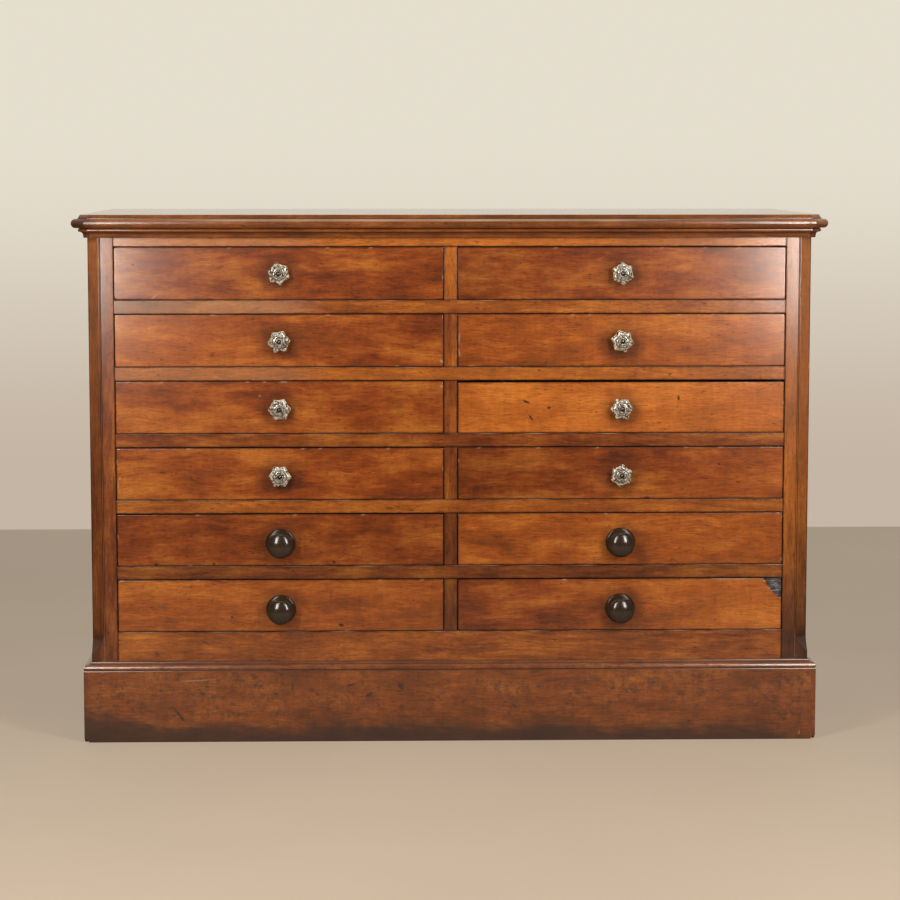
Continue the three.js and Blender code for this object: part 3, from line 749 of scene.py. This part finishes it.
def mopped(x, z):
    """Soil of the foot: a wavy dark band, which climbs at the left end and sinks at the right."""
    climb = left_climb * max(0, -x - left_start) - right_sink * max(0, x - right_start)
    ragged = soil_rag * noise.noise(Vector((x * 45, z * 120, 6)))
    band = (soil_height + soil_wave * noise.noise(Vector((x * 9, 2, 0))) + climb + ragged) * mm
    return soil_share * max(0, min(1, (band - z) / soil_fade + 0.5))


bench = Bench()
for count, rings in enumerate(carried([spot for spot, _ in section], lambda outset: 0, seed=4)):
    for ring in rings:
        for number, (x, y, z) in enumerate(ring):
            if abs(x) > carcass_half + reach - 2 * mm and y < low.y + 2 * mm:
                ring[number] = (x, y, max(z, clip))
    points, faces = skinned(rings)
    bench.add(points, faces, "xz" if count == 1 else "yz", 71 + count, 0.68,
              dirt=[max(soil_and_light, mopped(x, z)) for ring in rings
                    for (x, _, z), (_, soil_and_light) in zip(ring, section)])
bench.finished("plinth_lengths", [plinth_mahogany], nodes=["plinth"])


# Bed moulding. A round nose over a cove and a small foot, planted under the top and mitred round
# the canted corners, where short lengths follow the chamfer of the posts.
top_reach, corner_cant = 24.5 * mm, 23 * mm


def canted(outset):
    """The cant of a moulding at a distance, so that all corners share their mitre lines."""
    return corner_cant - (top_reach - outset) * (2 - math.sqrt(2))


low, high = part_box("bed_moulding")
bed_reach, nose, foot_reach, foot_rise = 13.6 * mm, 3 * mm, 5.6 * mm, 5 * mm
foot_ease, foot_lean = 0.4 * mm, 0.9 * mm
cove = (bed_reach - nose - foot_reach, high.z - low.z - 2 * nose - foot_rise)
# Section values paint shade onto the hidden back and underside and into the cove.
section = [((behind, low.z), 0.3), ((foot_reach - foot_ease, low.z), 0.5),
           ((foot_reach - foot_lean, low.z + foot_ease), 0.1),
           ((foot_reach, low.z + foot_rise - foot_ease), 0.1)]
section += [(spot, 0.45) for spot in
            curved((foot_reach + cove[0], low.z + foot_rise), cove, 180, 92, 9)]
section += [(spot, 0) for spot in
            curved((bed_reach - nose, high.z - nose), (nose, nose), -80, 90, 10)]
section += [((behind, high.z), 0.6)]
bed_mahogany = wood("bed_mahogany", (0.085, 0.018, 0.003), (0.18, 0.043, 0.006), (0.28, 0.085, 0.014),
                    roughness=0.34, coat=1.0, edge_dark_share=0.0)
bench = Bench()


def bed_cant(outset):
    return canted(outset) if outset > 1 * mm else chamfer + behind * (2 - math.sqrt(2))


for count, rings in enumerate(carried([spot for spot, _ in section], bed_cant, seed=9)):
    points, faces = skinned(rings)
    bench.add(points, faces, "yz" if count in (0, 4) else "xz", 81 + count, 0.6,
              dirt=[soil_and_light for _, soil_and_light in section] * len(rings))
bench.finished("bed_moulding_lengths", [bed_mahogany], nodes=["bed_moulding"])


# Top. One wide mahogany board, its edge worked to a half-round under a small sloping fillet with a
# quirk between, and its front corners canted. The left corner is a darker, patched repair.
low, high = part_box("top_board")
round_half, quirk_rise = 7.6 * mm, 1.2 * mm
fillet_foot, flat_edge = top_reach - 11 * mm, top_reach - 14.6 * mm
thickness, top_rub = high.z - low.z, 0.3 * mm
# Section values paint shade under the board and into the quirk, and the arris of the flat top pales with
# wear and a painted highlight.
section = [((0.0, 0.0), 0), ((8 * mm, 0.0), 0.5)]
section += [(spot, 0) for spot in
            curved((top_reach - round_half, round_half), (round_half, round_half), -90, 84, 24)]
section += [((fillet_foot + 0.6 * mm, 2 * round_half), 0.35),
            ((fillet_foot, 2 * round_half + 0.2 * mm), 0.7),
            ((fillet_foot, 2 * round_half + quirk_rise), 0.4),
            ((fillet_foot - 0.5 * mm, 2 * round_half + quirk_rise + 0.4 * mm), 0.2),
            ((flat_edge + 0.5 * mm, thickness - 0.5 * mm), 0),
            ((flat_edge - 0.3 * mm, thickness), -0.2),
            ((flat_edge - 3 * mm, thickness), 0), ((flat_edge - 40 * mm, thickness), 0)]
rings = []
for (outset, rise), _ in section:
    places, _ = plan_round(outset, max(canted(outset), 0.5 * mm))
    backs = [(places[-1][0] * (1 - 2 * share), carcass_back) for share in spaced(0, 1, 0.08)[1:-1]]
    rub = top_rub * (outset > 2 * mm)
    rings.append([rubbed(x, y, low.z + rise, rub, 2) for x, y in places + backs])
points, faces = skinned(rings)
dirt = [soil_and_light for _, soil_and_light in section for _ in rings[0]]
# A pale stripe along the top of the nose, strongest in the middle, is wear with a painted highlight.
wear_and_highlight_middle, wear_and_highlight_reach, wear_and_highlight_fade = -0.05, 4.2, 10
repair, repair_reach, repair_end, repair_share = Vector((-0.612, -0.275)), 42 * mm, -0.55, 0.7
for number, (x, y, z) in enumerate(points):
    if 1.5 * round_half < z - low.z < 2 * round_half + 0.1 * mm and y < face_y:
        wear = 0.6 + 0.5 * noise.noise(Vector((x * 12, 5, 0)))
        dirt[number] = -wear * max(0, min(1, wear_and_highlight_reach - wear_and_highlight_fade * abs(x - wear_and_highlight_middle)))
    if x < repair_end and z < high.z - 1 * mm:
        distance = (Vector((x, y)) - repair).length / repair_reach
        dirt[number] = max(dirt[number], repair_share * max(0, 1 - distance ** 3))
bench = Bench()
bench.add(points, faces, "xy", 90, 0.64, dirt=dirt)
top_mahogany = wood("top_mahogany", (0.085, 0.020, 0.004), (0.17, 0.045, 0.008), (0.27, 0.087, 0.018),
                    roughness=0.22, coat=1.0, edge_dark_share=0.0)
bench.finished("top_board_moulded", [top_mahogany], nodes=["top_board"])


# Drawers' boxes. Thin pine sides and back stand on a grooved-in bottom. Lapped dovetails hold the
# front and through dovetails the back, and a recipe sets out their rows at the four corners.
joint_pine = wood("joint_pine", (0.22, 0.125, 0.06), (0.30, 0.18, 0.09), (0.38, 0.24, 0.13),
                  figure=(1.4, 60), roughness=0.66, coat=0.0, run="yz")
jointing = Recipe("dovetail_rows", {
    "Left": 0.0, "Right": 1.0, "Foot": 0.0, "Front": 0.0, "Back": 1.0, "Tails": 3, "Pitch": 27.0 * mm,
    "Lap": 13 * mm, "Tail Root": 15 * mm, "Tail End": 20 * mm, "Pins": 3, "Pin Root": 7.5 * mm,
    "Pin End": 4.5 * mm, "Side": 9.2 * mm, "Proud": 0.12 * mm, "Wood": joint_pine})


def dovetail_row(count, length, root, end, front):
    """A row of keys up both faces of a corner; each is a slim wedge, seen from the drawer's side."""
    key = jointing.node("GeometryNodeMeshCube", None, {
        "Size": jointing.vector(jointing.size("Proud") * 2, length, 1.0)})
    x, y, z = jointing.split(jointing.node("GeometryNodeInputPosition"))
    share = y / length + 0.5
    wedge = jointing.node("GeometryNodeSetPosition", None, {
        "Geometry": key, "Position": jointing.vector(x, y, z * (root * share + end * (1 - share)))})
    rows = []
    for side in ("Left", "Right"):
        start = jointing.vector(jointing.size(side), front + length * 0.5,
                                jointing.size("Foot") + jointing.size("Pitch") * 0.5)
        rows.append(jointing.node("GeometryNodeInstanceOnPoints", None, {
            "Instance": wedge, "Points": jointing.node("GeometryNodeMeshLine", None, {
                "Count": count, "Start Location": start,
                "Offset": jointing.vector(z=jointing.size("Pitch"))})}))
    return rows


lap_rows = dovetail_row(jointing.size("Tails"), jointing.size("Lap"), jointing.size("Tail Root"),
                        jointing.size("Tail End"), jointing.size("Front") - jointing.size("Lap"))
pin_rows = dovetail_row(jointing.size("Pins"), jointing.size("Side"), jointing.size("Pin End"),
                        jointing.size("Pin Root"), jointing.size("Back") - jointing.size("Side"))
every_row = jointing.node("GeometryNodeJoinGeometry")
for row in (*lap_rows, *pin_rows):
    jointing.tree.links.new(row.output, every_row.output.node.inputs[0])
jointing.ends_in(every_row, "Wood")

board_thickness, bottom_rise, bottom_thickness, slip = 9 * mm, 6 * mm, 6 * mm, 6 * mm
back_inset, back_drop, back_lift, tail_rise, slip_start = 0.2 * mm, 3 * mm, 0.1 * mm, 2 * mm, 1 * mm
side_ease, slip_ease, back_ease, bottom_ease = 1.6 * mm, 1.5 * mm, 1.2 * mm, 0.4 * mm
drawers = [(f"{side[0]}{row}", f"drawer_{side}_{row}") for side in ("left", "right")
           for row in range(1, 7)]
for count, (name, body) in enumerate(drawers):
    node = f"drawer_box_{name}"
    low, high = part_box(node)
    floor_z = low.z + bottom_rise
    top_of_bottom = floor_z + bottom_thickness
    bench = Bench()
    for hand, (left, right) in enumerate(((low.x, low.x + board_thickness),
                                          (high.x - board_thickness, high.x))):
        worn_length(bench, (left, low.y, low.z), (right, high.y, high.z), 1, 100 + 5 * count + hand,
                    0.5, ease=side_ease, gap=40 * mm)
        inside = (right, right + slip) if hand == 0 else (left - slip, left)
        bench.board((inside[0], low.y + slip_start, top_of_bottom),
                    (inside[1], high.y - board_thickness, top_of_bottom + slip),
                    "yz", 103 + 5 * count, 0.4, ease=slip_ease)
    inner = (low.x + board_thickness, high.x - board_thickness)
    bench.board((inner[0], high.y - board_thickness - back_inset, top_of_bottom + back_lift),
                (inner[1], high.y - back_inset, high.z - back_drop), "xz", 102 + 5 * count, 0.45,
                ease=back_ease)
    bench.board((inner[0], low.y, floor_z), (inner[1], high.y - back_inset, top_of_bottom), "xy",
                104 + 5 * count, 0.5, ease=bottom_ease)
    bench.finished(f"drawer_{name}_boards", [pine], body, [node])
    jointing.grown(f"drawer_{name}_dovetails", body, slot="pine", **{
        "Left": low.x, "Right": high.x, "Foot": low.z + tail_rise, "Front": low.y, "Back": high.y})


# Drawer fronts. Solid mahogany, each from its own board and with its own colour, the arrises worn
# round by hands. A few have dropped a little in their openings, and one has lost its top corner.
def rim(half_width, half_height, gap):
    """Points round a front's edge from the lower left, each side evenly spaced."""
    return [*[(x, -half_height) for x in spaced(-half_width, half_width, gap)[:-1]],
            *[(half_width, z) for z in spaced(-half_height, half_height, gap)[:-1]],
            *[(x, half_height) for x in spaced(half_width, -half_width, gap)[:-1]],
            *[(-half_width, z) for z in spaced(half_height, -half_height, gap)[:-1]]]


def set_in(point, half_width, half_height, inset):
    x, z = point
    return (max(-half_width + inset, min(half_width - inset, x)),
            max(-half_height + inset, min(half_height - inset, z)))


dents = [(-0.5195, 0.791, 0.003, 0.0025, 0), (-0.1824, 0.1938, 0.006, 0.003, 10),
         (-0.363, 0.208, 0.003, 0.002, 0), (-0.1935, 0.2995, 0.004, 0.003, 30),
         (-0.4877, 0.2956, 0.005, 0.003, -20), (0.1241, 0.5655, 0.009, 0.0025, 25),
         (0.1325, 0.5383, 0.008, 0.0022, 55), (0.1621, 0.5555, 0.004, 0.003, 0),
         (0.3764, 0.5709, 0.003, 0.005, 0), (0.4444, 0.461, 0.0025, 0.0025, 0),
         (0.3253, 0.4047, 0.007, 0.004, 0), (-0.3919, 0.2969, 0.004, 0.003, 40)]
scuffs = [(-0.4859, 0.7387, 0.006, 0.002, -40), (-0.3143, 0.5762, 0.0035, 0.0014, -60),
          (0.0138, 0.6700, 0.0016, 0.013, 3), (0.0142, 0.6460, 0.0020, 0.009, -5),
          (-0.0150, 0.6320, 0.004, 0.003, 30), (-0.0150, 0.5915, 0.003, 0.004, -30),
          (0.4650, 0.2690, 0.045, 0.0014, 0), (-0.5457, 0.4395, 0.0025, 0.0035, 0),
          (-0.5471, 0.4556, 0.0018, 0.0016, 0), (-0.5480, 0.4290, 0.0012, 0.009, 0),
          (-0.5471, 0.4182, 0.0028, 0.0012, 0), (-0.5274, 0.4207, 0.0085, 0.0011, -4)]
smears = [(-0.4896, 0.4850, 0.014, 0.0028, 0), (-0.4761, 0.2244, 0.011, 0.0035, 12),
          (-0.4656, 0.2034, 0.004, 0.003, 0), (-0.4583, 0.1908, 0.004, 0.003, -30),
          (-0.3787, 0.2039, 0.005, 0.003, 0), (-0.3647, 0.2030, 0.003, 0.004, 0),
          (-0.1987, 0.2459, 0.003, 0.008, 10), (-0.2021, 0.2191, 0.004, 0.0025, 0)]
drawer_mahogany = wood("drawer_mahogany", (0.115, 0.020, 0.002), (0.250, 0.049, 0.004),
                       (0.410, 0.122, 0.014), coat=1.0, grime_and_shade=(0.020, 0.008, 0.005),
                       edge_dark_share=0.6, halo=0.4, dents=dents, scuffs=scuffs, smears=smears)
broken = Finish("broken_wood", roughness=0.8)
splinters = broken.noise(broken.place(), (90, 260, 380), detail=4, rough=0.75)
broken.colour(broken.node("ShaderNodeValToRGB", {
    "stops": [(0.38, (0.012, 0.010, 0.010)), (0.52, (0.085, 0.075, 0.075)),
              (0.64, (0.34, 0.31, 0.30))]}, {0: splinters}))
broken.bump(splinters, 0.6 * mm, 0.8)
front_tones = {"l1": (0.42, 0.49), "l2": (0.75, 0.46), "l3": (0.62, 0.42), "l4": (0.60, 0.48),
               "l5": (0.46, 0.34), "l6": (0.64, 0.62), "r1": (0.26, 0.68), "r2": (0.58, 0.76),
               "r3": (0.76, 0.95), "r4": (0.18, 0.65), "r5": (0.60, 0.66), "r6": (0.38, 0.86)}
dropped = {"r3": 2.4 * mm, "l4": 0.5 * mm, "l5": 0.6 * mm, "r1": 0.3 * mm, "r6": 0.4 * mm}
chipped = "r6"
chip_wide, chip_high, chip_deep, chip_jag = 30 * mm, 32 * mm, 6 * mm, 1.8
chip_bite = Vector((2.0, 2.6)) * mm
edge_round, edge_wander, corner_round, corner_reach = 1.1, 0.7, 0.9, 4 * mm
edge_gap, chipped_gap, hair = 7 * mm, 3 * mm, 0.001 * mm
hind_inset, hind_ease, splinter_rise, ledge_rise = 0.6 * mm, 0.5 * mm, 1.5 * mm, 1 * mm
for count, (name, body) in enumerate(drawers):
    node = f"drawer_front_{name}"
    low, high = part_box(node)
    top = high.z - dropped.get(name, 0)
    centre = Vector(((low.x + high.x) / 2, 0, (low.z + top) / 2))
    half_width, half_height = (high.x - low.x) / 2, (top - low.z) / 2
    edge = rim(half_width, half_height, chipped_gap if name == chipped else edge_gap)
    rounding = []
    for x, z in edge:
        at_corner = abs(x) > half_width - corner_reach and abs(z) > half_height - corner_reach
        wander = edge_wander * noise.noise(Vector((x * 30, z * 30, count)))
        rounding.append((edge_round + wander + corner_round * at_corner) * mm)
    outline = edge
    if name == chipped:
        start = Vector((half_width - chip_wide, half_height))
        end = Vector((half_width, half_height - chip_high))
        outline = []
        for number, (x, z) in enumerate(edge):
            on_top, on_side = z > half_height - hair, x > half_width - hair
            back_from = half_width - x if on_top else 0
            below = half_height - z if on_side else 0
            if (x > start.x and on_top) or (z > end.y and on_side):
                share = 1 - (below + chip_wide - back_from) / (chip_wide + chip_high)
                spot = end.lerp(start, share)
                jag = random.Random(number).uniform(-chip_jag, chip_jag) * mm
                spot += Vector((jag, jag * 0.8)) - chip_bite * math.sin(share * math.pi)
                outline.append(tuple(spot))
            else:
                outline.append((x, z))

    def inward(number, inset):
        """A place on the front's outline moved in from the edge, or away from the broken corner."""
        x, z = outline[number]
        if outline[number] != edge[number]:
            x, z = x - 0.8 * inset, z - 0.8 * inset
        return set_in((x, z), half_width, half_height, inset)

    depths = [(high.y, hind_inset), (high.y - hind_ease, 0)]
    rings = [[set_in(point, half_width, half_height, inset) + (y,) for point in edge]
             for y, inset in depths]
    # The front's hidden sides take painted shade from the gap round it.
    soil_and_light = [[0.3] * len(edge), [0.3] * len(edge)]
    if name == chipped:
        floor_y = face_y + chip_deep
        rings.append([(*point, floor_y) for point in edge])
        rings.append([(*[(a + b) / 2 for a, b in zip(point, spot)],
                       floor_y - (point != spot) * splinter_rise * random.Random(number).random())
                      for number, (point, spot) in enumerate(zip(edge, outline))])
        rings.append([(*spot, floor_y - ledge_rise * (point != spot))
                      for point, spot in zip(edge, outline)])
        soil_and_light += [[0.2] * len(edge)] * 3
    first_turn = len(rings)
    for angle in (0, 22, 45, 68, 90):
        turn = math.radians(angle)
        rings.append([inward(number, r * (1 - math.cos(turn))) + (face_y + r * (1 - math.sin(turn)),)
                      for number, r in enumerate(rounding)])
        # The rounding darkens towards the gap with painted shade; pale patches on it are wear with
        # painted highlights.
        soil_and_light.append([-0.5 if noise.noise(Vector((x * 70, z * 70, count + 7))) > 0.40 + 0.2 * (z < 0)
                     else 0.9 - 0.65 * math.sin(turn) for x, z in edge])
    for inset in (3 * mm, 6 * mm):
        rings.append([inward(number, inset) + (face_y,) for number in range(len(edge))])
        soil_and_light.append([0.0] * len(edge))
    points, faces = skinned([[(centre.x + x, y, centre.z + z) for x, z, y in ring] for ring in rings])
    left_tone, right_tone = front_tones[name]
    tones = [left_tone + (right_tone - left_tone) * (x - low.x) / (high.x - low.x)
             for x, _, _ in points]
    bench = Bench()
    bench.add(points, faces, "xz", 201 + 7 * count, tones, dirt=sum(soil_and_light, []))
    if name == chipped:
        moved = [spot != point for spot, point in zip(outline, edge)]
        for number in range(len(faces) - 2):
            ring, place = divmod(number, len(edge))
            if 1 < ring < first_turn and (moved[place] or moved[(place + 1) % len(edge)]):
                bench.finish_of[number] = 1
    bench.finished(f"drawer_{name}_front", [drawer_mahogany, broken.material], body, [node])


# Glass knobs. Clear pressed glass with six pointed lobes, hollowed between, on a waisted foot. An
# iron bolt with a domed head runs through it and is held inside the drawer by a washer and a nut.
glass = Finish("pressed_glass", roughness=0.10, ior=1.7, transmission_weight=0.25,
               coat_weight=1.0, coat_roughness=0.07, coat_ior=2.0)
# The glass's base colour is painted light: bright flecks stand for glints and refracted light and dark
# streaks for dark refraction, and the dirt value paints shade into rings round the bolt.
glint_noise = glass.noise(glass.place(), (280, 280, 280), detail=3, rough=0.6)
clear = glass.node("ShaderNodeValToRGB", {
    "stops": [(0.42, (0.05, 0.037, 0.025)), (0.49, (0.52, 0.43, 0.31)),
              (0.58, (1.0, 0.96, 0.83))]}, {0: glint_noise})
glass.colour(glass.blend(glass.attribute("dirt", "Fac"), clear, (0.10, 0.08, 0.06, 1)))
glass.bump(glass.noise(glass.place(), (360, 360, 360), 5, detail=1), 1.6 * mm, 1.0)
bolt_iron = Finish("bolt_iron", roughness=0.22, metallic=1.0)
rust = bolt_iron.noise(bolt_iron.place(), (500, 500, 500), detail=3)
bolt_iron.colour(bolt_iron.blend(rust, (0.03, 0.026, 0.024, 1), (0.14, 0.12, 0.10, 1)))
glass_profile = [(0.0, 0.1), (9.2, 0.1), (10, 0.6), (10, 2.6), (9.4, 3.5), (8.4, 5.0), (8.0, 6.6),
                 (8.3, 8.0), (9.8, 9.6), (12.4, 11.2), (15.4, 12.8), (17.8, 14.3), (19.0, 15.9),
                 (18.9, 16.6), (17.7, 17.9), (15.8, 19.2), (13.6, 20.2), (12.6, 20.4), (12.1, 20.9),
                 (11.7, 22.2), (10.9, 23.8), (9.9, 24.9), (8.8, 25.5), (7.6, 25.7), (6.6, 25.0),
                 (6.0, 25.0), (5.4, 25.5), (4.8, 25.5), (4.3, 24.9), (0.0, 24.8)]
widest, valley, hollow, lobe_start, lobe_fade, ring_steps = 19, 3.4, 1.15, 8.6, 6, 96
bolt_profile = [(0.0, 26.9), (1.4, 26.8), (2.6, 26.3), (3.4, 25.7), (3.7, 25.2), (3.7, 24.9),
                (3.0, 24.9), (3.0, -20.6), (8.0, -20.6), (8.0, -21.4), (5.6, -21.5), (5.4, -23.3),
                (2.9, -23.4), (2.7, -23.9), (0.0, -24.0)]


def lathed(profile, centre, turn=0.0, steps=48, shape=None):
    """A turned shape on a knob's axis, from (radius, reach) in millimetres off the drawer face."""
    rings = []
    for radius, out in profile:
        ring = []
        for step in range(steps):
            angle = 2 * math.pi * step / steps
            span = max(radius, 0.02) * (shape(angle, radius) if shape else 1)
            ring.append((centre[0] + span * mm * math.cos(angle + turn), face_y - out * mm,
                         centre[1] + span * mm * math.sin(angle + turn)))
        rings.append(ring)
    return skinned(rings)


def lobed(angle, radius):
    """Six pointed lobes with hollow sides, which fade out towards the foot and the boss."""
    sag = abs(math.sin(3 * angle)) ** hollow
    return 1 - valley / widest * sag * min(1, max(0, (radius - lobe_start) / lobe_fade))


knob_turns = {"l1": 40, "l2": 8, "l3": 3, "l4": 0, "r1": 36, "r2": 48, "r3": 0, "r4": 24}
# Ring values paint dark rings of shade and refraction round the bolt's head.
ring_shade = [0] * 17 + [0.5, 0.75, 0.2, 0.1, 0.65, 0.2, 0.7, 0.9, 0.8, 0.2, 0.2, 0.9, 1]
for name, body in drawers:
    if name not in knob_turns:
        continue
    node = f"glass_knob_{name}"
    low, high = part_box(node)
    centre = ((low.x + high.x) / 2, (low.z + high.z) / 2)
    bench = Bench()
    turn = math.radians(knob_turns[name])
    bench.add(*lathed(glass_profile, centre, turn, ring_steps, lobed), "yx", 1,
              dirt=[soil_and_light for soil_and_light in ring_shade for _ in range(ring_steps)])
    bench.finished(f"drawer_{name}_glass", [glass.material], body, [node], crisp=26)
    bench = Bench()
    bench.add(*lathed(bolt_profile, centre, 0, 24), "yx", 1)
    bench.finished(f"drawer_{name}_bolt", [bolt_iron.material], body)


# Wooden knobs. Turned hardwood stained near black and polished: a flange against the drawer, a
# short neck and a flattened bun. A spigot is glued in a hole bored through the front.
ebonised = Finish("ebonised_wood", roughness=0.5, specular_ior_level=0.0, coat_roughness=0.18,
                  coat_ior=1.8)
turning = ebonised.noise(ebonised.place(), (240, 60, 240), detail=4)
ebonised.colour(ebonised.blend(turning, (0.014, 0.008, 0.005, 1), (0.052, 0.029, 0.017, 1)))
ebonised.coat((1 - ebonised.attribute("dirt", "Fac")) * 0.75)
ebonised.bump(turning, 0.05 * mm, 0.2)
wood_profile = [(0, -24), (6.8, -24), (7, -23.6), (7, 0.1), (23.6, 0.1), (24.5, 0.9), (24.5, 2.6),
                (24.1, 3.8), (22.8, 4.8), (20.5, 5.5), (17.5, 6.0), (14.6, 6.9), (12.2, 8.6),
                (10.8, 10.6), (10.2, 12.6), (10.0, 15.4)]
bun_middle, bun_radius, neck_reach, bun_steps = (29, 0), 21, 9, 72
bun = curved(bun_middle, (14, bun_radius), 146, 90, 10)[:-1]
bun += curved(bun_middle, (10.8, bun_radius), 90, 2, 18)
wood_profile += [(radius, out) for out, radius in bun]
for name, body in drawers:
    if name in knob_turns:
        continue
    node = f"wood_knob_{name}"
    low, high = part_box(node)
    bench = Bench()
    centre = ((low.x + high.x) / 2, (low.z + high.z) / 2)
    bench.add(*lathed(wood_profile, centre, 0, bun_steps), "yx", 1,
              dirt=[0.75 * (out < neck_reach) for _, out in wood_profile for _ in range(bun_steps)])
    bench.finished(f"drawer_{name}_turned_knob", [ebonised.material], body, [node])
